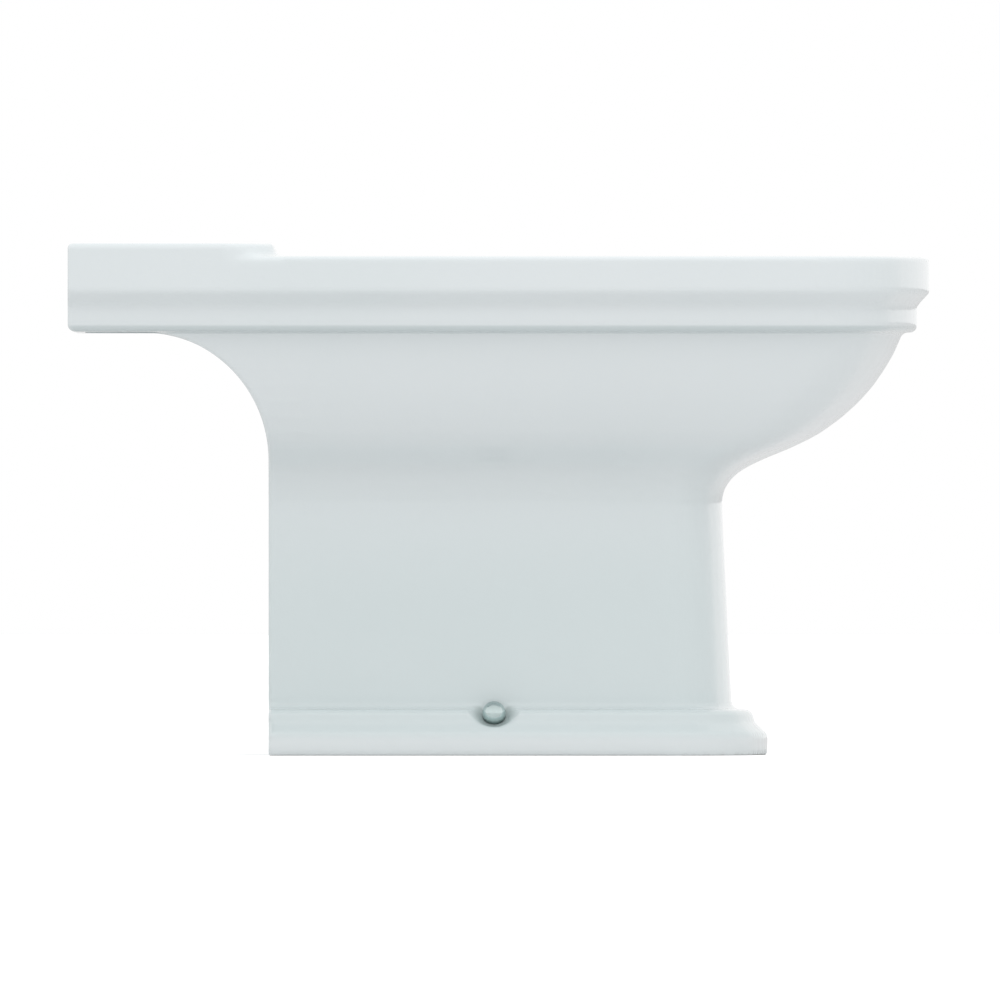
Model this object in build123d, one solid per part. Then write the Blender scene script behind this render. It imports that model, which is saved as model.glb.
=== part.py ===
from build123d import *
from math import cos, radians, sin, sqrt
import os

# Close-coupled floor-standing toilet pan in vitreous china, with its concealed angled floor
# fixings. +X points to the front of the bowl, +Z up. The origin is on the floor, midway along
# the pan and on its centre line. All sizes are in millimetres.

# Overall sizes
pan_length = 674.0
pan_width = 360.0
rim_height = 390.0
platform_rise = 10.0
china = 12.0

# Rim mouldings, from the top edge down to the body
rim_face_height = 28.0
rim_corner = 70.0
rim_bow = 400.0
rim_edge_round = 3.0
round_steps = 3
cove_height = 10.0
cove_depth = 9.4
fascia_height = 21.0
fascia_round = 5.0
body_recess = 11.3

# Belly and pedestal
neck_height = 200.0
neck_width = 190.0
neck_front_setback = 162.5
neck_corner = 36.0
neck_bow = 240.0
pedestal_flare = 7.8
rear_arch_radius = 100.0
arch_overlap = 0.5
service_gap = 156.4
# Profile of the belly: share of the rise from neck to fascia, and share of the way out
belly_profile = [
    (0.06, 0.012), (0.11, 0.04), (0.16, 0.085), (0.205, 0.155), (0.25, 0.245), (0.30, 0.36),
    (0.35, 0.46), (0.40, 0.545), (0.49, 0.66), (0.585, 0.757), (0.68, 0.835), (0.78, 0.899),
    (0.88, 0.953),
]

# Plinth mouldings
plinth_height = 36.0
plinth_block_height = 16.5
plinth_projection = 28.0
plinth_slope_height = 9.0
plinth_slope_depth = 9.5
plinth_step = 1.0
plinth_roll = 7.5
ledge_cove = 4.0
plinth_wall = 15.5
foot_side_height = 5.1

# Platform for the cistern
platform_depth = 161.0
platform_corner = 40.0
platform_edge_round = 3.0
platform_foot_round = 5.0
top_plate = 14.0
inlet_radius = 32.0
inlet_setback = 75.0
inlet_chamber_extra = 4.0
duct_width = 50.0
duct_height = 26.0
duct_overlap = 4.0
cistern_bolt_spacing = 150.0
cistern_bolt_radius = 8.0

# Seat fixings
seat_hole_spacing = 155.0
seat_hole_radius = 8.0
seat_hole_setback = 205.0

# Bowl
bowl_wall = 11.0
opening_width = 270.0
opening_front_setback = 48.0
opening_rear_setback = 257.0
opening_front_corner = 105.0
opening_rear_corner = 80.0
opening_bow = 260.0
opening_round = 7.0
lip_thickness = 10.0
lip_drop = 44.0
channel_roof = 16.0
rim_web = 8.0
tray_setback = 18.0

# Inside of the bowl: height, rear and front reach, half width, corner and bow radii
bowl_stations = [
    (346.0, -105.0, 312.0, 155.0, 110.0, 280.0),
    (325.0, -97.0, 300.0, 149.0, 106.0, 264.0),
    (300.0, -87.0, 281.0, 140.0, 100.0, 240.0),
    (275.0, -76.0, 255.0, 127.0, 93.0, 212.0),
    (250.0, -66.0, 223.0, 112.0, 84.0, 180.0),
    (225.0, -56.0, 189.0, 98.0, 75.0, 153.0),
    (200.0, -47.0, 156.0, 85.0, 66.0, 128.0),
    (175.0, -39.0, 126.0, 73.0, 58.0, 105.0),
    (150.0, -32.0, 100.0, 62.0, 50.0, 84.0),
    (125.0, -27.0, 80.0, 53.0, 43.0, 68.0),
    (100.0, -23.5, 69.0, 47.0, 38.0, 56.0),
    (60.0, -20.0, 65.0, 42.5, 35.0, 48.0),
    (40.0, -15.0, 61.0, 38.0, 31.0, 44.0),
    (27.0, -7.0, 53.0, 30.0, 24.0, 36.0),
    (18.0, 5.0, 41.0, 17.0, 12.0, 21.0),
]

# Trap and outlet
sump_x = 25.0
trap_radius = 40.0
trap_wall = 11.0
trap_floor_gap = 9.0
trap_bend = 56.0
trap_bend_steps = 5
trap_rise_x = -85.0
outlet_height = 190.0
outlet_end_setback = 4.6

# Floor fixings
fixing_x = -4.3
fixing_y = 108.0
fixing_z = 30.5
hole_drill = 60.0
inlet_drill = 50.0
fixing_tilt = 45.0
fixing_china = 13.0
spot_radius = 10.5
spot_flare = 9.5
spot_flare_height = 8.0
spot_depth = 10.0
sleeve_hole_radius = 6.0
sleeve_clearance = 0.2
sleeve_bore_clearance = 0.25
sleeve_flange_thickness = 1.5
snap_ring_radius = 7.9
snap_ring_wall = 1.6
snap_ring_height = 2.0
screw_radius = 3.0
screw_clearance = 0.05
screw_head_radius = 5.5
screw_head_height = 4.0
screw_head_chamfer = 1.0
screw_slot_length = 6.0
screw_slot_width = 1.1
screw_slot_depth = 1.8
screw_bite = 17.0
cap_radius = 9.1
cap_skirt = 4.0
cap_clearance = 0.2
cap_room_rise = 2.0
cap_crown_rise = 4.8
cap_crown_radius = 3.9
bracket_width = 38.0
bracket_clearance = 0.2
bracket_length = 51.5
bracket_flange_thickness = 5.0
bracket_wall_gap = 1.5
bracket_top_gap = 6.5
bracket_top_width = 12.0
bracket_web_width = 20.0
floor_screw_radius = 3.5
floor_screw_spacing = 140.0

# How far shapes run past each other where they are joined or cut
overlap = 1.0
past = 20.0

# Places worked out from the sizes above
rear_x = -pan_length / 2
front_x = pan_length / 2
half_width = pan_width / 2
rim_bottom = rim_height - rim_face_height
cove_bottom = rim_bottom - cove_height
body_top = cove_bottom - fascia_height
platform_height = rim_height + platform_rise
pedestal_back = rear_x + service_gap
fascia_inset = cove_depth
body_inset = cove_depth + body_recess
inlet_x = rear_x + inlet_setback
seat_hole_x = rear_x + seat_hole_setback
opening_rear = rear_x + opening_rear_setback
opening_front = front_x - opening_front_setback
lip_bottom = rim_height - lip_drop
tray_front = bowl_stations[0][1] - tray_setback
deck_under = rim_height - top_plate
channel_top = rim_height - channel_roof
duct_roof = channel_top
trap_height = trap_floor_gap + trap_wall + trap_radius
outlet_x = pedestal_back + outlet_end_setback
wall_face = neck_width / 2 + pedestal_flare
foot_neck_inside = wall_face - china
half_foot_inside = wall_face + plinth_projection - plinth_wall


def bowed_end(tip, half, corner, bow, side):
    """Points of an end that bows out to tip on the X axis, with rounded corners to the sides."""
    reach = bow - corner
    along = sqrt(reach**2 - (half - corner) ** 2)
    bow_centre = tip - side * bow
    corner_x = bow_centre + side * along
    unit = (side * along / reach, (half - corner) / reach)
    middle = (unit[0] / sqrt(2 + 2 * unit[1]), (unit[1] + 1) / sqrt(2 + 2 * unit[1]))
    on_side = (corner_x, half)
    on_corner = (corner_x + corner * middle[0], half - corner + corner * middle[1])
    on_bow = (bow_centre + bow * unit[0], bow * unit[1])
    return on_side, on_corner, on_bow, (tip, 0)


def flipped(point):
    return (point[0], -point[1])


def bowed_edges(points):
    """The two corner arcs and the bow between them, from the +Y side to the -Y side."""
    on_side, on_corner, on_bow, tip = points
    return [
        ThreePointArc(on_side, on_corner, on_bow),
        ThreePointArc(on_bow, tip, flipped(on_bow)),
        ThreePointArc(flipped(on_bow), flipped(on_corner), flipped(on_side)),
    ]


def square_backed_plan(front, half, corner, bow, z, back=rear_x):
    """Plan section with a bowed front and a flat back, as the outside of the pan has."""
    points = bowed_end(front, half, corner, bow, 1)
    side_end = points[0]
    edges = bowed_edges(points) + [
        Line(flipped(side_end), (back, -half)),
        Line((back, -half), (back, half)),
        Line((back, half), side_end),
    ]
    return Pos(0, 0, z) * make_face(edges)


def oval_plan(rear, front, half, rear_corner, front_corner, rear_bow, front_bow, z):
    """Plan section with both ends bowed, as the bowl has."""
    ahead = bowed_end(front, half, front_corner, front_bow, 1)
    behind = bowed_end(rear, half, rear_corner, rear_bow, -1)
    edges = bowed_edges(ahead) + bowed_edges(behind)
    edges += [Line(behind[0], ahead[0]), Line(flipped(behind[0]), flipped(ahead[0]))]
    return Pos(0, 0, z) * make_face(edges)


def rim_plan(inset, z, back=rear_x):
    """The rim's outline, drawn in by inset at the sides and the front."""
    return square_backed_plan(
        front_x - inset, half_width - inset, rim_corner - inset, rim_bow - inset, z, back
    )


def rounding(radius):
    """Steps round an edge of a radius, as how far in and how far along from its start."""
    turns = [radians(90 * step / round_steps) for step in range(1, round_steps + 1)]
    return [(radius * (1 - cos(turn)), radius * sin(turn)) for turn in turns]


def ruled(sections):
    return loft(sections, ruled=True)


def prism(plan, height):
    return extrude(plan, height, dir=(0, 0, 1))


def belly_plan(share, z, inset=0.0, back=rear_x):
    """The body's outline where it has come out by a share of the way from neck to rim."""

    def between(neck, rim):
        return neck + (rim - neck) * share - inset

    return square_backed_plan(
        between(front_x - neck_front_setback, front_x - body_inset),
        between(neck_width / 2, half_width - body_inset),
        between(neck_corner, rim_corner - body_inset),
        between(neck_bow, rim_bow - body_inset),
        z,
        back,
    )


def pedestal_plan(flare, z, inset=0.0, back=rear_x):
    """The neck's outline, flared out at the sides and the front."""
    out = flare - inset
    return square_backed_plan(
        front_x - neck_front_setback + out,
        neck_width / 2 + out,
        neck_corner + out,
        neck_bow + out,
        z,
        back,
    )


def box_between(x0, x1, y0, y1, z0, z1):
    centre = Pos((x0 + x1) / 2, (y0 + y1) / 2, (z0 + z1) / 2)
    return centre * Box(x1 - x0, y1 - y0, z1 - z0)


def neck_and_belly(inset=0.0, back=rear_x, foot=plinth_height):
    """Pedestal with its slight taper, and the belly that swells from it up to the fascia."""
    rise = body_top - neck_height
    pedestal = loft(
        [
            pedestal_plan(pedestal_flare, foot, inset, back),
            pedestal_plan(0, neck_height, inset, back),
        ],
        ruled=True,
    )
    profile = belly_profile[1::2] if inset else belly_profile
    sections = [belly_plan(0, neck_height, inset, back)]
    for height_share, reach in profile:
        sections.append(belly_plan(reach, neck_height + rise * height_share, inset, back))
    sections.append(belly_plan(1, body_top, inset, back))
    return pedestal + ruled(sections)


def plinth():
    """Block, sloped moulding, roll and ledge that the pedestal stands on."""
    flare = pedestal_flare + plinth_projection
    slope_top = plinth_block_height + plinth_slope_height
    upper_flare = flare - plinth_slope_depth - plinth_step

    def section(out, z):
        return pedestal_plan(out, z, 0, pedestal_back)

    block = ruled(
        [
            section(flare, 0),
            section(flare, plinth_block_height),
            section(flare - plinth_slope_depth, slope_top),
        ]
    )
    roll_start = plinth_height - plinth_roll
    roll = [section(upper_flare, slope_top - overlap), section(upper_flare, roll_start)]
    for inward, up in rounding(plinth_roll):
        roll.append(section(upper_flare - inward, roll_start + up))
    cove = ruled(
        [
            section(pedestal_flare + ledge_cove, plinth_height - 0.5),
            section(pedestal_flare - 0.3, plinth_height + ledge_cove),
        ]
    )
    return block + ruled(roll) + cove


def rear_cut():
    """Everything behind the pedestal and below the arch that carries the cistern platform."""
    far = rear_x - past
    top = body_top + arch_overlap
    arch_start = pedestal_back - rear_arch_radius
    above = body_top + 2 * past
    edges = [
        Line((far, -past), (pedestal_back, -past)),
        Line((pedestal_back, -past), (pedestal_back, top - rear_arch_radius)),
        RadiusArc(
            (pedestal_back, top - rear_arch_radius), (arch_start, top), -rear_arch_radius
        ),
        Line((arch_start, top), (arch_start, above)),
        Line((arch_start, above), (far, above)),
        Line((far, above), (far, -past)),
    ]
    return extrude(Plane.XZ * make_face(edges), pan_width, both=True)


def opening_plan(grow, z):
    """Mouth of the bowl seen from above, grown outwards by grow."""
    return oval_plan(
        opening_rear - grow,
        opening_front + grow,
        opening_width / 2 + grow,
        opening_rear_corner + grow,
        opening_front_corner + grow,
        opening_bow + grow,
        opening_bow + grow,
        z,
    )


def bowl_plan(station, wall):
    z, rear, front, half, corner, bow = station
    return oval_plan(
        rear - wall, front + wall, half + wall, corner + wall, corner + wall, bow + wall,
        bow + wall, z,
    )


def bowl(wall):
    """Bowl and sump below the rim channel, grown by a wall thickness."""
    stations = bowl_stations[::2] if wall else bowl_stations
    sections = [bowl_plan(station, wall) for station in stations]
    if wall:
        sections[-1] = Pos(0, 0, -wall) * sections[-1]
    return ruled(sections)


def trapway(radius, extra=0.0):
    """Water seal from the sump, up over the weir and back to the outlet."""
    low_centre = (trap_rise_x + trap_bend, trap_height + trap_bend)
    high_centre = (trap_rise_x - trap_bend, outlet_height - trap_bend)
    turns = [radians(90 * step / trap_bend_steps) for step in range(trap_bend_steps + 1)]
    stations = [(sump_x, trap_height, 0.0)]
    for turn in turns:
        x = low_centre[0] - trap_bend * sin(turn)
        stations.append((x, low_centre[1] - trap_bend * cos(turn), turn))
    for turn in turns:
        x = high_centre[0] + trap_bend * cos(turn)
        stations.append((x, high_centre[1] + trap_bend * sin(turn), radians(90) - turn))
    stations.append((outlet_x - extra, outlet_height, 0.0))
    rings = []
    for x, z, rise in stations:
        plane = Plane(origin=(x, 0, z), x_dir=(0, 1, 0), z_dir=(-cos(rise), 0, sin(rise)))
        rings.append(plane * Circle(radius))
    return ruled(rings)


def platform_plan(inset, z):
    """Outline of the raised pad with rounded front corners, drawn in by inset."""
    radius = platform_corner - inset
    back, side = rear_x + inset, half_width - inset
    front = rear_x + platform_depth - inset
    cut = radius * (1 - cos(radians(45)))
    turn, middle, corner = (front - radius, side), (front - cut, side - cut), (front, side - radius)
    edges = [
        Line((back, -side), (back, side)),
        Line((back, side), turn),
        ThreePointArc(turn, middle, corner),
        Line(corner, flipped(corner)),
        ThreePointArc(flipped(corner), flipped(middle), flipped(turn)),
        Line(flipped(turn), (back, -side)),
    ]
    return Pos(0, 0, z) * make_face(edges)


def platform():
    """Raised pad for the cistern, with a cove where it rises from the rim."""
    round_start = platform_height - platform_edge_round
    pad = [
        platform_plan(0, rim_height - rim_edge_round - overlap),
        platform_plan(0, round_start),
    ]
    for inward, up in rounding(platform_edge_round):
        pad.append(platform_plan(inward, round_start + up))
    reach = platform_foot_round
    steps = [(1.1 * reach, -0.5), (0.3 * reach, 0.35 * reach), (0.05 * reach, reach)]
    cove = ruled([platform_plan(-out, rim_height + up) for out, up in steps])
    inside = half_width - rim_edge_round
    cove &= box_between(rear_x + 20, 0, -inside, inside, rim_height - 5, platform_height)
    return ruled(pad) + cove


def fixing_plane(side):
    """Plane of the angled seat for a floor fixing, its Z axis pointing up and outwards."""
    tilt = radians(fixing_tilt)
    return Plane(
        origin=(fixing_x, side * fixing_y, fixing_z),
        x_dir=(1, 0, 0),
        z_dir=(0, side * sin(tilt), cos(tilt)),
    )


def rim():
    """Rim block with its rounded top edge, and the sloped moulding under it."""
    round_start = rim_height - rim_edge_round
    sections = [
        rim_plan(cove_depth, cove_bottom),
        rim_plan(0, rim_bottom),
        rim_plan(0, round_start),
    ]
    for inward, up in rounding(rim_edge_round):
        sections.append(rim_plan(inward, round_start + up))
    return ruled(sections)


def fascia():
    """Band below the rim, rolled under at its lower edge."""
    round_start = body_top + fascia_round
    sections = [rim_plan(fascia_inset, cove_bottom), rim_plan(fascia_inset, round_start)]
    for inward, down in rounding(fascia_round):
        sections.append(
            rim_plan(fascia_inset + inward, round_start - down, rear_x + inward)
        )
    return ruled(sections)


def mouth():
    """Opening of the bowl through the rim, with a rounded edge."""
    sections = [opening_plan(0, lip_bottom - past), opening_plan(0, rim_height - opening_round)]
    for outward, up in rounding(opening_round):
        sections.append(opening_plan(outward, rim_height - opening_round + up))
    sections.append(opening_plan(opening_round, platform_height))
    return ruled(sections)


def pan_body():
    shell = neck_and_belly() + prism(belly_plan(1, body_top - overlap), fascia_round + overlap)
    shell -= rear_cut()
    return shell + fascia() + rim() + platform() + plinth() - mouth()


def hollow():
    """Space inside the casting around the bowl: open below the foot and behind the pedestal."""
    behind = rear_x - past
    foot_flare = pedestal_flare + plinth_projection - plinth_wall
    slope_rise = foot_flare - (pedestal_flare - china)
    foot = prism(pedestal_plan(foot_flare, -past, 0, behind), past + foot_side_height)
    slope = loft(
        [
            pedestal_plan(foot_flare, foot_side_height, 0, behind),
            pedestal_plan(foot_flare - slope_rise, foot_side_height + slope_rise, 0, behind),
        ],
        ruled=True,
    )
    under_rim = cove_bottom - rim_web
    middle = neck_and_belly(china, behind, foot_side_height + slope_rise - 3)
    middle += prism(
        belly_plan(1, body_top - overlap, china, rear_x + china), under_rim - body_top + overlap
    )
    inside = half_width - fascia_inset - china
    tray = box_between(
        rear_x + china, tray_front, -inside, inside, under_rim - overlap, deck_under
    )
    pad = box_between(
        rear_x + china,
        rear_x + platform_depth - platform_corner,
        -inside,
        inside,
        deck_under - overlap,
        platform_height - top_plate,
    )
    return foot + slope + middle + tray + pad


def duct(wall):
    """Flush way from the cistern inlet forward to the rim channel."""
    low = duct_roof - duct_height - wall
    high = deck_under + duct_overlap if wall else duct_roof
    front = bowl_stations[0][1] + (-duct_overlap if wall else 2 * duct_overlap)
    half = duct_width / 2 + wall
    middle = Pos(inlet_x, 0, (low + high) / 2)
    chamber = middle * Cylinder(inlet_radius + inlet_chamber_extra + wall, high - low)
    return chamber + box_between(inlet_x, front, -half, half, low, high)


def lip():
    """Inner wall of the rim, hanging round the mouth of the bowl."""
    return prism(opening_plan(lip_thickness, lip_bottom), channel_top - lip_bottom + overlap)


def make_pan():
    outer = pan_body()
    cavity = hollow() - bowl(bowl_wall) - trapway(trap_radius + trap_wall) - duct(china)
    cavity = cavity.solids().sort_by(SortBy.VOLUME)[-1]
    channel = prism(bowl_plan(bowl_stations[0], 0), channel_top - lip_bottom) - lip()
    water = bowl(0) + channel + trapway(trap_radius, 5) + duct(0)
    water += Pos(inlet_x, 0, platform_height - inlet_drill / 2 + 5) * Cylinder(
        inlet_radius, inlet_drill
    )
    pan = outer - cavity
    pan -= water
    for side in (1, -1):
        pan -= Pos(inlet_x, side * cistern_bolt_spacing / 2, platform_height) * Cylinder(
            cistern_bolt_radius, hole_drill
        )
        pan -= Pos(seat_hole_x, side * seat_hole_spacing / 2, rim_height) * Cylinder(
            seat_hole_radius, hole_drill
        )
        pan -= fixing_plane(side) * spot_face()
        pan -= fixing_plane(side) * flare() & ledge_space(side)
    return pan


def spot_face():
    """Angled seat for the sleeve and the cap, and the hole through the china."""
    flat = Pos(0, 0, spot_depth / 2) * Cylinder(spot_radius, spot_depth)
    return flat + Cylinder(sleeve_hole_radius, hole_drill)


def flare():
    """Scoop that opens out from the spot face."""
    mouth_radius = spot_radius + spot_flare
    cone = Pos(0, 0, spot_flare_height / 2) * Cone(spot_radius, mouth_radius, spot_flare_height)
    return cone + Pos(0, 0, spot_flare_height + hole_drill / 4) * Cylinder(
        mouth_radius, hole_drill / 2
    )


def ledge_space(side):
    """Space outside the pedestal's wall, so that the scoop doesn't groove the wall itself."""
    reach = 2 * (spot_radius + spot_flare)
    sides = sorted([side * wall_face, side * half_width])
    return box_between(fixing_x - reach, fixing_x + reach, *sides, 0, neck_height / 2)


def tube(outer, inner, low, high):
    """Ring about the Z axis between two heights."""
    middle = Pos(0, 0, (low + high) / 2)
    return middle * (Cylinder(outer, high - low) - Cylinder(inner, high - low + 2))


def sleeve():
    """Plastic bush that lines the china and carries the snap ring for the cap."""
    barrel_radius = sleeve_hole_radius - sleeve_clearance
    bore = screw_radius + sleeve_bore_clearance
    barrel = tube(barrel_radius, bore, -fixing_china + 0.5, 0.5)
    flange = tube(snap_ring_radius, bore, 0, sleeve_flange_thickness)
    ring_top = sleeve_flange_thickness + snap_ring_height
    ring_bottom = sleeve_flange_thickness - 0.5
    ring = tube(snap_ring_radius, snap_ring_radius - snap_ring_wall, ring_bottom, ring_top)
    return barrel + flange + ring


def screw():
    """Cheese-headed screw with a cross slot, from the sleeve down into the bracket."""
    seat = sleeve_flange_thickness
    length = fixing_china + seat + screw_bite
    head = Pos(0, 0, seat + screw_head_height / 2) * Cylinder(screw_head_radius, screw_head_height)
    head = chamfer(head.faces().sort_by(Axis.Z)[-1].edges(), screw_head_chamfer)
    shank = Pos(0, 0, seat - length / 2) * Cylinder(screw_radius, length)
    top = Pos(0, 0, seat + screw_head_height)
    slot = Box(screw_slot_length, screw_slot_width, 2 * screw_slot_depth)
    return head + shank - top * (slot + Rot(0, 0, 90) * slot)


def cap():
    """Domed cover that snaps over the ring of the sleeve, down to just above the china."""
    base = cap_clearance
    inner = snap_ring_radius + cap_clearance
    spring = base + cap_skirt
    skirt = Pos(0, 0, (base + spring) / 2) * Cylinder(cap_radius, cap_skirt)
    dome = Pos(0, 0, spring) * Sphere(
        cap_radius, arc_size1=0, arc_size2=90, align=(Align.CENTER, Align.CENTER, Align.MIN)
    )
    room_top = spring + cap_room_rise
    crown = cap_crown_rise
    room = Pos(0, 0, (base - overlap + room_top) / 2) * Cylinder(inner, room_top - base + overlap)
    room += Pos(0, 0, room_top + crown / 2) * Cone(inner, cap_crown_radius, crown)
    return skirt + dome - room


def bracket(side):
    """Nylon angle block that stands inside the foot under the angled hole."""
    slope_sum = fixing_y + fixing_z - fixing_china * sqrt(2) - bracket_clearance * sqrt(2)
    outer_y = half_foot_inside - bracket_wall_gap
    top_z = foot_side_height + half_foot_inside - foot_neck_inside - bracket_top_gap
    profile = [
        (outer_y, 0),
        (outer_y, slope_sum - outer_y),
        (slope_sum - top_z, top_z),
        (slope_sum - top_z - bracket_top_width, top_z),
        (slope_sum - top_z - bracket_web_width, bracket_flange_thickness),
        (outer_y - bracket_length, bracket_flange_thickness),
        (outer_y - bracket_length, 0),
    ]
    outline = Polyline([(0, side * y, z) for y, z in profile], close=True)
    half_width_x = bracket_width / 2
    body = extrude(make_face(outline), half_width_x, dir=(1, 0, 0), both=True)
    body = Pos(fixing_x, 0, 0) * body
    bore = Pos(0, 0, -hole_drill / 2) * Cylinder(screw_radius + screw_clearance, hole_drill)
    body -= fixing_plane(side) * bore
    floor_y = side * floor_screw_spacing / 2
    body -= Pos(fixing_x, floor_y, 0) * Cylinder(floor_screw_radius, hole_drill)
    return body


nodes = {"pan": make_pan()}
for side, word in ((1, "left"), (-1, "right")):
    place = fixing_plane(side)
    nodes[f"{word}_fixing_bracket"] = bracket(side)
    nodes[f"{word}_fixing_sleeve"] = place * sleeve()
    nodes[f"{word}_fixing_screw"] = place * screw()
    nodes[f"{word}_fixing_cap"] = place * cap()

os.makedirs("parts", exist_ok=True)
for name, shape in nodes.items():
    export_step(shape, f"parts/{name}.step")
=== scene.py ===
import math

import bmesh
import bpy
from mathutils import Matrix, Vector


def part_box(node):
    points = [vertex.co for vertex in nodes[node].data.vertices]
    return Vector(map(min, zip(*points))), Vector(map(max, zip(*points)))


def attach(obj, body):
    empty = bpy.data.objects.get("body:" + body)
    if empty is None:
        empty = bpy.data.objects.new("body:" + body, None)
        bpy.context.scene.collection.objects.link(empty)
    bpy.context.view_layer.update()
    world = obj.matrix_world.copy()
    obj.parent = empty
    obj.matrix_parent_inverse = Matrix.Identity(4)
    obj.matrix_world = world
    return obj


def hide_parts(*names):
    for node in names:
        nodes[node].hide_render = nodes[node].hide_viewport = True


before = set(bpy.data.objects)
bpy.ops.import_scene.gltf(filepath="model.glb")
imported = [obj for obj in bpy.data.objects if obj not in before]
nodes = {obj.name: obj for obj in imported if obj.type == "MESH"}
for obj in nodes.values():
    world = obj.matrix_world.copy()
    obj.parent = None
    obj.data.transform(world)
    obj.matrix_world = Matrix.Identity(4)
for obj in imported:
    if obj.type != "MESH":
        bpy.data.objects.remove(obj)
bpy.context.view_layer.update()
panLow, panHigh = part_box("pan")
print("frame loaded")


def asColour(shade):
    return (*shade, 1.0) if isinstance(shade, tuple) else shade


class Sock:
    # a node's socket, so that shader maths reads as plain sums
    def __init__(self, shades, socket):
        self.shades = shades
        self.socket = socket

    def maths(self, operation, *terms):
        settings = {"operation": operation}
        return self.shades.add("ShaderNodeMath", settings, dict(enumerate(terms)))

    def __add__(self, other):
        return self.maths("ADD", self, other)

    def __radd__(self, other):
        return self.maths("ADD", other, self)

    def __sub__(self, other):
        return self.maths("SUBTRACT", self, other)

    def __rsub__(self, other):
        return self.maths("SUBTRACT", other, self)

    def __mul__(self, other):
        return self.maths("MULTIPLY", self, other)

    def __rmul__(self, other):
        return self.maths("MULTIPLY", other, self)

    def __abs__(self):
        return self.maths("ABSOLUTE", self)


class Shades:
    # the nodes of one material, or of the world
    def __init__(self, owner):
        owner.use_nodes = True
        self.owner = owner
        self.tree = owner.node_tree
        self.tree.nodes.clear()

    def add(self, kind, settings=None, values=None, out=0):
        node = self.tree.nodes.new(kind)
        for name, value in (settings or {}).items():
            setattr(node, name, value)
        for name, value in (values or {}).items():
            if isinstance(value, Sock):
                self.tree.links.new(value.socket, node.inputs[name])
            else:
                node.inputs[name].default_value = value
        return None if out is None else Sock(self, node.outputs[out])

    def place(self):
        return self.add("ShaderNodeTexCoord", out="Object")

    def noise(self, scale, detail=3.0, roughness=0.5):
        values = {
            "Vector": self.place(),
            "Scale": scale,
            "Detail": detail,
            "Roughness": roughness,
        }
        return self.add("ShaderNodeTexNoise", None, values)

    def steps(self, value, low, high, first=0.0, last=1.0):
        values = {
            "Value": value,
            "From Min": low,
            "From Max": high,
            "To Min": first,
            "To Max": last,
        }
        return self.add("ShaderNodeMapRange", {"interpolation_type": "SMOOTHSTEP"}, values)

    def mixColours(self, factor, first, second):
        values = {0: factor, 6: asColour(first), 7: asColour(second)}
        return self.add("ShaderNodeMix", {"data_type": "RGBA"}, values, out=2)

    def along(self, axis, vector=None):
        return self.add("ShaderNodeSeparateXYZ", None, {0: vector or self.place()}, out=axis)

    def bump(self, height, distance, strength=1.0, normal=None):
        values = {"Height": height, "Distance": distance, "Strength": strength}
        if normal is not None:
            values["Normal"] = normal
        return self.add("ShaderNodeBump", None, values)

    def surface(self, values):
        shader = self.add("ShaderNodeBsdfPrincipled", None, values)
        self.add("ShaderNodeOutputMaterial", None, {"Surface": shader}, out=None)
        return self.owner


def newFinish(name):
    return Shades(bpy.data.materials.new(name))


# vitreous china: cool white glaze, bare under the foot; painted highlight on the arrises and the
# foot's upright face, painted shade in the corners, down the pedestal, under the band below the
# rim and in the scoops round the caps; heights and reaches are in metres
glaze = {
    "colour": (0.784, 0.832, 0.848),
    # painted highlight, on the arrises and on the foot's upright face
    "paintedHighlight": (0.806, 0.850, 0.862),
    "highlightShare": 0.7,
    "highlightFrom": 0.51,  # pointiness, above a half on an arris and below it in a corner
    "highlightTo": 0.58,
    # colour of random clouds of darker glaze, and of painted shade in the corners
    "cloudAndCreaseShade": (0.726, 0.796, 0.808),
    "creaseShadeShare": 0.6,
    "creaseShadeFrom": 0.49,
    "creaseShadeTo": 0.42,
    "driftScale": 5.0,
    "driftAt": (0.35, 0.7),
    "drift": 0.3,  # how far slow clouds of pooled glaze show
    # painted shade, darker towards the bottom
    "lower": (0.690, 0.764, 0.772),
    "lowerFrom": 0.26,
    "lowerTo": 0.10,
    "underRimShade": (0.600, 0.668, 0.680),  # painted shade under the roll of the band below the rim
    "underRimShadeAt": (0.3290, 0.3310, 0.3345, 0.3370),
    "underRimShadeShare": 0.9,
    "plinthLightFrom": 0.019,  # the foot's upright face, painted lighter: painted light
    "plinthLightTo": 0.010,
    "plinthLightShare": 0.85,
    # painted shade in the scoop round each cap
    "hollow": (0.44, 0.52, 0.515),
    "hollowAt": (-0.0043, 0.108, 0.0305),  # middle of the scoop round each cap
    "hollowReach": (0.0105, 0.0205),
    "hollowWall": (0.1030, 0.1045),  # the scoop starts outside the pedestal's wall
    "hollowShare": 0.8,
    "bisque": (0.64, 0.60, 0.54),
    "bisqueGrain": (0.52, 0.48, 0.42),
    "grainScale": 900.0,
    "grainShare": 0.4,
    "grainDepth": 0.0004,
    "grainStrength": 0.6,
    "footHeight": 0.003,
    "footFacing": (-0.7, -0.95),
    "cloudScale": 38.0,
    "cloudAt": (0.3, 0.75),
    "roughness": (0.085, 0.135),
    "footRoughness": 0.6,
    "coat": 0.5,
    "coatRoughness": 0.03,
    "ior": 1.5,
    "rippleDepth": 0.0035,
    "rippleStrength": 0.35,
    "peelScale": 420.0,
    "peelDepth": 0.00012,
    "peelStrength": 0.25,
}


def scoopShadeMask(finish, height):
    # 1 in the scoop round either cap, fading out over its edge: where painted shade goes
    middleX, middleY, middleZ = glaze["hollowAt"]
    near, far = glaze["hollowReach"]
    beside = abs(finish.along("Y"))
    acrossX = finish.along("X") - middleX
    acrossY = beside - middleY
    acrossZ = height - middleZ
    apart = acrossX * acrossX + acrossY * acrossY + acrossZ * acrossZ
    inside = finish.steps(apart, near**2, far**2, 1.0, 0.0)
    return inside * finish.steps(beside, *glaze["hollowWall"])


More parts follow.
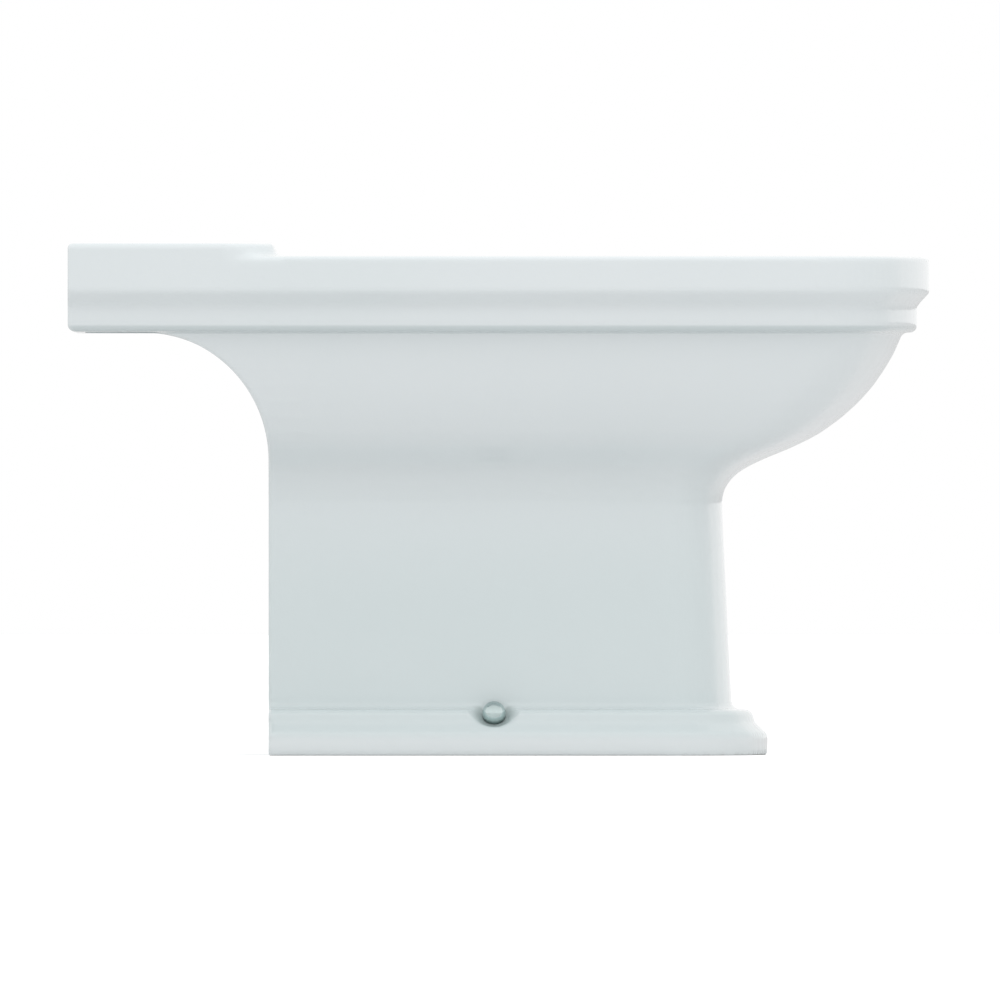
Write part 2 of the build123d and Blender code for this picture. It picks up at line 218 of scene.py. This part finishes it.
def glazeColour(finish, drift, height):
    edges = finish.add("ShaderNodeNewGeometry", out="Pointiness")
    # painted highlight on the arrises
    paintedHighlight = finish.steps(edges, glaze["highlightFrom"], glaze["highlightTo"])
    # painted shade in the corners
    cloudAndCreaseShade = finish.steps(edges, glaze["creaseShadeFrom"], glaze["creaseShadeTo"])
    clouding = finish.steps(drift, *glaze["driftAt"], 0.0, glaze["drift"])
    # painted shade, darker towards the bottom
    lower = finish.steps(height, glaze["lowerFrom"], glaze["lowerTo"])
    # painted shade under the roll of the band below the rim
    low, lowFull, highFull, high = glaze["underRimShadeAt"]
    underRimShade = finish.steps(height, low, lowFull) * finish.steps(height, high, highFull)
    # painted light on the foot's upright face
    plinthLight = finish.steps(height, glaze["plinthLightFrom"], glaze["plinthLightTo"])
    colour = finish.mixColours(lower, glaze["colour"], glaze["lower"])
    colour = finish.mixColours(clouding, colour, glaze["cloudAndCreaseShade"])
    colour = finish.mixColours(underRimShade * glaze["underRimShadeShare"], colour, glaze["underRimShade"])
    colour = finish.mixColours(plinthLight * glaze["plinthLightShare"], colour, glaze["paintedHighlight"])
    colour = finish.mixColours(paintedHighlight * glaze["highlightShare"], colour, glaze["paintedHighlight"])
    colour = finish.mixColours(cloudAndCreaseShade * glaze["creaseShadeShare"], colour, glaze["cloudAndCreaseShade"])
    # painted shade in the scoops round the caps
    hollow = scoopShadeMask(finish, height) * glaze["hollowShare"]
    return finish.mixColours(hollow, colour, glaze["hollow"])


def glazedChina():
    finish = newFinish("vitreousChina")
    drift = finish.noise(glaze["driftScale"], detail=2.0)
    clouds = finish.noise(glaze["cloudScale"], detail=4.0, roughness=0.6)
    grain = finish.noise(glaze["grainScale"], detail=6.0, roughness=0.7)
    height = finish.along("Z")
    facing = finish.along("Z", finish.add("ShaderNodeNewGeometry", out="Normal"))
    under = finish.steps(facing, *glaze["footFacing"])
    foot = under * finish.steps(height, glaze["footHeight"], glaze["footHeight"] / 2)
    bisque = finish.mixColours(grain * glaze["grainShare"], glaze["bisque"], glaze["bisqueGrain"])
    gloss = finish.steps(clouds, *glaze["cloudAt"], *glaze["roughness"])
    ripple = finish.bump(drift, glaze["rippleDepth"], glaze["rippleStrength"])
    peel = finish.noise(glaze["peelScale"], detail=2.0)
    skin = finish.bump(peel, glaze["peelDepth"], glaze["peelStrength"], ripple)
    worn = finish.bump(grain * foot, glaze["grainDepth"], glaze["grainStrength"], skin)
    return finish.surface(
        {
            "Base Color": finish.mixColours(foot, glazeColour(finish, drift, height), bisque),
            "Roughness": gloss + foot * glaze["footRoughness"],
            "Coat Weight": (1 - foot) * glaze["coat"],
            "Coat Roughness": glaze["coatRoughness"],
            "IOR": glaze["ior"],
            "Normal": worn,
        }
    )


# chrome plating on a moulded cap, with painted reflection: darker towards the top, and a skirt
# below the dome painted darker still, as painted reflection and shade
chrome = {
    # painted reflection: lighter low on the cap, darker towards the top
    "paintedReflection": (0.66, 0.77, 0.76),
    "darkReflection": (0.44, 0.52, 0.52),
    "lightReflectionAt": 0.0310,  # heights above the floor
    "darkReflectionAt": 0.0420,
    "smudge": (0.50, 0.55, 0.55),
    "smudgeScale": 260.0,
    "smudgeAt": (0.4, 0.8),
    "smudgeShare": 0.3,
    # painted reflection and shade on the skirt, darkest at its foot
    "skirt": (0.48, 0.57, 0.56),
    "foot": (0.26, 0.33, 0.32),
    "footAt": 0.0985,  # how far out along the screw's slope the cap starts
    "domeAt": 0.1018,  # and where its skirt turns into the dome
    "domeEdge": (-0.0002, 0.0004),
    "dullAt": (0.35, 0.8),
    "roughness": (0.05, 0.11),
    "grainScale": 1400.0,
    "grainDepth": 0.00002,
    "grainStrength": 0.15,
}


def platedChrome():
    finish = newFinish("platedChrome")
    smudges = finish.noise(chrome["smudgeScale"], detail=5.0, roughness=0.65)
    out = (abs(finish.along("Y")) + finish.along("Z")) * math.sqrt(0.5)
    before, after = chrome["domeEdge"]
    dome = finish.steps(out, chrome["domeAt"] + before, chrome["domeAt"] + after)
    # painted reflection and shade: the skirt darkens towards its foot
    skirtShade = finish.steps(out, chrome["footAt"], chrome["domeAt"])
    skirt = finish.mixColours(skirtShade, chrome["foot"], chrome["skirt"])
    # painted reflection, darker towards the top
    reflectionFade = finish.steps(finish.along("Z"), chrome["lightReflectionAt"], chrome["darkReflectionAt"])
    paintedReflection = finish.mixColours(reflectionFade, chrome["paintedReflection"], chrome["darkReflection"])
    smudged = finish.steps(smudges, *chrome["smudgeAt"], 0.0, chrome["smudgeShare"])
    paintedReflection = finish.mixColours(smudged, paintedReflection, chrome["smudge"])
    grain = finish.noise(chrome["grainScale"], detail=2.0)
    return finish.surface(
        {
            "Base Color": finish.mixColours(dome, skirt, paintedReflection),
            "Metallic": 1.0,
            "Roughness": finish.steps(smudges, *chrome["dullAt"], *chrome["roughness"]),
            "Normal": finish.bump(grain, chrome["grainDepth"], chrome["grainStrength"]),
        }
    )


# natural nylon of the brackets: milky, with a fine spark-eroded grain and flow marks
nylon = {
    "colour": (0.66, 0.65, 0.59),
    "flow": (0.60, 0.59, 0.52),
    "flowScale": 60.0,
    "flowAt": (0.35, 0.7),
    "dullAt": (0.3, 0.8),
    "roughness": (0.36, 0.50),
    "grainScale": 1800.0,
    "grainDepth": 0.00004,
    "grainStrength": 0.4,
}


def mouldedNylon():
    finish = newFinish("mouldedNylon")
    flow = finish.noise(nylon["flowScale"], detail=4.0, roughness=0.6)
    grain = finish.noise(nylon["grainScale"])
    streaks = finish.steps(flow, *nylon["flowAt"])
    return finish.surface(
        {
            "Base Color": finish.mixColours(streaks, nylon["colour"], nylon["flow"]),
            "Roughness": finish.steps(flow, *nylon["dullAt"], *nylon["roughness"]),
            "Normal": finish.bump(grain, nylon["grainDepth"], nylon["grainStrength"]),
        }
    )


# white plastic of the sleeves
sleevePlastic = {
    "colour": (0.80, 0.80, 0.77),
    "flow": (0.75, 0.75, 0.71),
    "flowScale": 140.0,
    "flowAt": (0.4, 0.7),
    "flowShare": 0.6,
    "dullAt": (0.3, 0.8),
    "roughness": (0.26, 0.40),
    "grainScale": 2200.0,
    "grainDepth": 0.00003,
    "grainStrength": 0.35,
}


def mouldedWhite():
    finish = newFinish("mouldedWhitePlastic")
    sleeve = sleevePlastic
    flow = finish.noise(sleeve["flowScale"])
    grain = finish.noise(sleeve["grainScale"])
    streaks = finish.steps(flow, *sleeve["flowAt"], 0.0, sleeve["flowShare"])
    return finish.surface(
        {
            "Base Color": finish.mixColours(streaks, sleeve["colour"], sleeve["flow"]),
            "Roughness": finish.steps(flow, *sleeve["dullAt"], *sleeve["roughness"]),
            "Normal": finish.bump(grain, sleeve["grainDepth"], sleeve["grainStrength"]),
        }
    )


# bright zinc of the screws, a little dulled in patches
zinc = {
    "colour": (0.60, 0.61, 0.62),
    "dull": (0.48, 0.49, 0.52),
    "patchScale": 420.0,
    "patchAt": (0.35, 0.75),
    "dullAt": (0.3, 0.8),
    "roughness": (0.22, 0.42),
    "scratchScale": 3000.0,
    "scratchDepth": 0.00002,
    "scratchStrength": 0.3,
}


def platedZinc():
    finish = newFinish("platedZinc")
    patches = finish.noise(zinc["patchScale"], detail=5.0, roughness=0.7)
    scratches = finish.noise(zinc["scratchScale"], detail=2.0)
    dulled = finish.steps(patches, *zinc["patchAt"])
    return finish.surface(
        {
            "Base Color": finish.mixColours(dulled, zinc["colour"], zinc["dull"]),
            "Metallic": 1.0,
            "Roughness": finish.steps(patches, *zinc["dullAt"], *zinc["roughness"]),
            "Normal": finish.bump(scratches, zinc["scratchDepth"], zinc["scratchStrength"]),
        }
    )


finishes = {
    "vitreous_china": glazedChina(),
    "nylon": mouldedNylon(),
    "white_plastic": mouldedWhite(),
    "steel": platedZinc(),
    "chrome": platedChrome(),
}
print("materials made")


def paint(piece, material):
    piece.data.materials.clear()
    piece.data.materials.append(material)


def asPiece(name, mesh, body, slotName, replaced):
    piece = bpy.data.objects.new(name, mesh)
    bpy.context.scene.collection.objects.link(piece)
    paint(piece, finishes[slotName])
    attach(piece, body)
    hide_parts(replaced)
    return piece


def applied(piece, name):
    # the mesh that the piece's modifiers give, as a mesh of its own
    graph = bpy.context.evaluated_depsgraph_get()
    mesh = bpy.data.meshes.new_from_object(
        piece.evaluated_get(graph), preserve_all_data_layers=True, depsgraph=graph
    )
    mesh.name = name
    piece.modifiers.clear()
    return mesh


# the pan in one skin of glaze: its edges are softened as the glaze softens them
pan = {
    "weld": 0.00001,
    "voxel": 0.0018,
    "edgeSoftening": 5,  # rounds of smoothing, over all of it and then over the sweeps
    "sweepSoftening": 40,
    "softening": 0.5,  # how far each round goes
    "belly": {"from": 0.203, "to": 0.328, "behind": -0.15},
    "bowl": {"from": 0.03, "half": 0.088, "front": 0.158, "behind": -0.06},
    "pedestal": {"from": 0.046, "behind": 0.06},
    "trap": {"half": 0.06, "behind": -0.163},
    "plinth": {"from": 0.009, "to": 0.029, "share": 0.4},
    "shoulder": {"from": 0.376, "half": 0.15, "behind": -0.215, "front": -0.168, "share": 0.5},
    "fade": 0.008,
    "flatness": 50,  # how strongly flat faces keep their own shading
    "triangles": 190000,
}


def sweptness(point):
    # how far a point is smoothed: 1 on the long sweeps of belly, bowl, trap and pedestal,
    # less on the plinth's mouldings and the step of the cistern platform, 0 elsewhere
    belly, pedestal, bowl, trap = pan["belly"], pan["pedestal"], pan["bowl"], pan["trap"]
    plinth, shoulder = pan["plinth"], pan["shoulder"]
    beside = abs(point.y)
    neck = belly["from"] + pan["fade"] - point.z
    sweeps = [
        min(point.z - belly["from"], belly["to"] - point.z, point.x - belly["behind"]),
        min(
            bowl["half"] - beside,
            point.z - bowl["from"],
            neck,
            point.x - bowl["behind"],
            bowl["front"] - point.x,
        ),
        min(trap["half"] - beside, neck, point.x - trap["behind"], -point.x),
        min(point.z - pedestal["from"], neck, point.x - pedestal["behind"]),
    ]
    share = max(sweeps) / pan["fade"]
    if plinth["from"] < point.z < plinth["to"] and beside > bowl["half"]:
        share = max(share, plinth["share"])
    if shoulder["behind"] < point.x < shoulder["front"] and beside > shoulder["half"]:
        share = max(share, shoulder["share"] if point.z > shoulder["from"] else 0.0)
    return max(0.0, min(1.0, share))


def softenedPan():
    source = bmesh.new()
    source.from_mesh(nodes["pan"].data)
    bmesh.ops.remove_doubles(source, verts=source.verts, dist=pan["weld"])
    mesh = bpy.data.meshes.new("panShell")
    source.to_mesh(mesh)
    source.free()
    worker = bpy.data.objects.new("panWorker", mesh)
    bpy.context.scene.collection.objects.link(worker)
    skin = worker.modifiers.new("skin", "REMESH")
    skin.mode = "VOXEL"
    skin.voxel_size = pan["voxel"]
    edges = worker.modifiers.new("edges", "SMOOTH")
    edges.iterations = pan["edgeSoftening"]
    edges.factor = pan["softening"]
    worker.data = applied(worker, "panSkin")
    sweeps = worker.vertex_groups.new(name="sweeps")
    for vertex in worker.data.vertices:
        share = sweptness(vertex.co)
        if share > 0:
            sweeps.add([vertex.index], share, "REPLACE")
    smoother = worker.modifiers.new("sweeps", "SMOOTH")
    smoother.vertex_group = "sweeps"
    smoother.iterations = pan["sweepSoftening"]
    smoother.factor = pan["softening"]
    fewer = worker.modifiers.new("fewer", "DECIMATE")
    triangles = sum(len(face.vertices) - 2 for face in worker.data.polygons)
    fewer.ratio = min(1.0, pan["triangles"] / triangles)
    worker.data = applied(worker, "panFewer")
    worker.data.shade_smooth()
    # flat faces stay flat up to the arrises
    flats = worker.modifiers.new("flats", "WEIGHTED_NORMAL")
    flats.weight = pan["flatness"]
    result = applied(worker, "panChina")
    bpy.data.objects.remove(worker)
    print("pan skinned:", triangles, "triangles down to", len(result.polygons))
    return result


asPiece("panChina", softenedPan(), "pan", "vitreous_china", "pan")


# the pull-off caps: a thin dome turned about the slope of its screw, outside then inside
cap = {
    "radius": 0.0091,
    "skirt": 0.004,
    "wall": 0.0011,
    "edge": 0.0004,
    "slope": 45,  # degrees from upright
    "crownSteps": 14,
    "turnSteps": 96,
}


def capProfile():
    # distance from the axis and height above the cap's own foot
    radius, skirt, wall, edge = cap["radius"], cap["skirt"], cap["wall"], cap["edge"]
    inner = radius - wall
    turns = [math.pi / 2 * step / cap["crownSteps"] for step in range(cap["crownSteps"] + 1)]
    points = [(inner, 0.0), (radius - edge, 0.0), (radius, edge)]
    points += [(radius * math.cos(turn), skirt + radius * math.sin(turn)) for turn in turns]
    points += [(inner * math.cos(turn), skirt + inner * math.sin(turn)) for turn in turns[::-1]]
    return points


def ringAt(work, radius, height):
    # one corner where the dome closes on its axis, otherwise a full ring
    if radius < 1e-6:
        return [work.verts.new((0, 0, height))]
    turns = [2 * math.pi * step / cap["turnSteps"] for step in range(cap["turnSteps"])]
    return [
        work.verts.new((radius * math.cos(turn), radius * math.sin(turn), height))
        for turn in turns
    ]


def joinRings(work, below, above):
    if len(below) == 1 and len(above) == 1:
        return
    for step in range(cap["turnSteps"]):
        after = (step + 1) % cap["turnSteps"]
        if len(above) == 1:
            work.faces.new((below[step], below[after], above[0]))
        elif len(below) == 1:
            work.faces.new((below[0], above[after], above[step]))
        else:
            work.faces.new((below[step], below[after], above[after], above[step]))


def turnedCap(side):
    low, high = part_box(f"{side}_fixing_cap")
    tilt = -1 if side == "left" else 1
    facing = Matrix.Rotation(math.radians(cap["slope"]) * tilt, 4, "X")
    topOut = max(abs(low[1]), abs(high[1]))
    # the dome's outermost and topmost points fix its centre
    centre = Vector((
        (low[0] + high[0]) / 2,
        -tilt * (topOut - cap["radius"]),
        high[2] - cap["radius"],
    ))
    work = bmesh.new()
    rings = [ringAt(work, radius, height) for radius, height in capProfile()]
    rings.append(rings[0])
    for below, above in zip(rings, rings[1:]):
        joinRings(work, below, above)
    bmesh.ops.recalc_face_normals(work, faces=work.faces)
    toFoot = Matrix.Translation((0, 0, -cap["skirt"]))
    work.transform(Matrix.Translation(centre) @ facing @ toFoot)
    mesh = bpy.data.meshes.new(f"{side}CapDome")
    work.to_mesh(mesh)
    work.free()
    mesh.shade_smooth()
    return mesh


for side in ("left", "right"):
    asPiece(f"{side}CapDome", turnedCap(side), f"{side}_cap", "chrome", f"{side}_fixing_cap")
print("caps turned")

# the plastic and steel pieces keep their CAD shapes
carried = {"bracket": "nylon", "sleeve": "white_plastic", "screw": "steel"}
for side in ("left", "right"):
    for piece, slotName in carried.items():
        paint(nodes[f"{side}_fixing_{piece}"], finishes[slotName])
print("fixings painted")

# the room: even white light all round, with one soft light above and a faint one in front
room = {
    "white": (1.0, 1.0, 1.0),
    "fill": 0.84,
    "floorSize": 60.0,
    "floorColour": (0.78, 0.78, 0.78),
    "floorRoughness": 0.9,
    "floorGlow": 0.5,
    "lights": {
        "topLight": {"at": (0.3, -0.9, 3.2), "size": 3.4, "power": 30.0},
        "frontLight": {"at": (-0.6, -4.2, 1.9), "size": 3.6, "power": 5.0},
    },
}


def whiteWorld():
    # dimmer as a light than it looks behind the object and in reflections
    world = bpy.data.worlds.new("whiteRoom")
    bpy.context.scene.world = world
    sky = Shades(world)
    camera, glossy, through = [
        sky.add("ShaderNodeLightPath", out=f"Is {kind} Ray")
        for kind in ("Camera", "Glossy", "Transmission")
    ]
    seen = camera + glossy + through
    strength = sky.add("ShaderNodeMapRange", None, {"Value": seen, "To Min": room["fill"]})
    values = {"Color": asColour(room["white"]), "Strength": strength}
    light = sky.add("ShaderNodeBackground", None, values)
    sky.add("ShaderNodeOutputWorld", None, {"Surface": light}, out=None)


def softLight(name, at, size, power):
    lamp = bpy.data.lights.new(name, "AREA")
    lamp.shape = "DISK"
    lamp.size = size
    lamp.energy = power
    light = bpy.data.objects.new(name, lamp)
    light.location = at
    light.visible_glossy = False
    aim = Vector((0, 0, panHigh[2] / 2)) - light.location
    light.rotation_euler = aim.to_track_quat("-Z", "Y").to_euler()
    bpy.context.scene.collection.objects.link(light)


def paleFloor():
    finish = newFinish("paleFloor")
    values = {"Base Color": asColour(room["floorColour"]), "Roughness": room["floorRoughness"]}
    base = finish.add("ShaderNodeBsdfPrincipled", None, values)
    glow = finish.add("ShaderNodeEmission", None, {"Strength": room["floorGlow"]})
    shown = finish.add("ShaderNodeAddShader", None, {0: base, 1: glow})
    path = finish.add("ShaderNodeLightPath", out="Is Camera Ray")
    surface = finish.add("ShaderNodeMixShader", None, {0: path, 1: base, 2: shown})
    finish.add("ShaderNodeOutputMaterial", None, {"Surface": surface}, out=None)
    half = room["floorSize"] / 2
    mesh = bpy.data.meshes.new("floor")
    corners = [(-half, -half, 0), (half, -half, 0), (half, half, 0), (-half, half, 0)]
    mesh.from_pydata(corners, [], [(0, 1, 2, 3)])
    mesh.materials.append(finish.owner)
    floor = bpy.data.objects.new("floor", mesh)
    bpy.context.scene.collection.objects.link(floor)


whiteWorld()
paleFloor()
for name, settings in room["lights"].items():
    softLight(name, **settings)
print("room lit")

# the photograph's view: level, square on to the pan's right-hand side, from far off
# the photograph's width is measured in the plane of the rim's near side
view = {
    "distance": 34.0,
    "width": 0.78,
    "middle": (0.0004, 0.1997),  # what the picture's middle shows, along and up
    "sensor": 36.0,
}


def squareOnCamera():
    lens = bpy.data.cameras.new("squareOn")
    lens.sensor_width = view["sensor"]
    lens.lens = view["sensor"] * (view["distance"] + panLow[1]) / view["width"]
    lens.clip_end = view["distance"] * 4
    camera = bpy.data.objects.new("squareOn", lens)
    camera.location = (view["middle"][0], -view["distance"], view["middle"][1])
    camera.rotation_euler = (math.radians(90), 0, 0)
    bpy.context.scene.collection.objects.link(camera)
    bpy.context.scene.camera = camera


squareOnCamera()
bpy.context.scene.view_settings.view_transform = "Standard"
print("camera set")
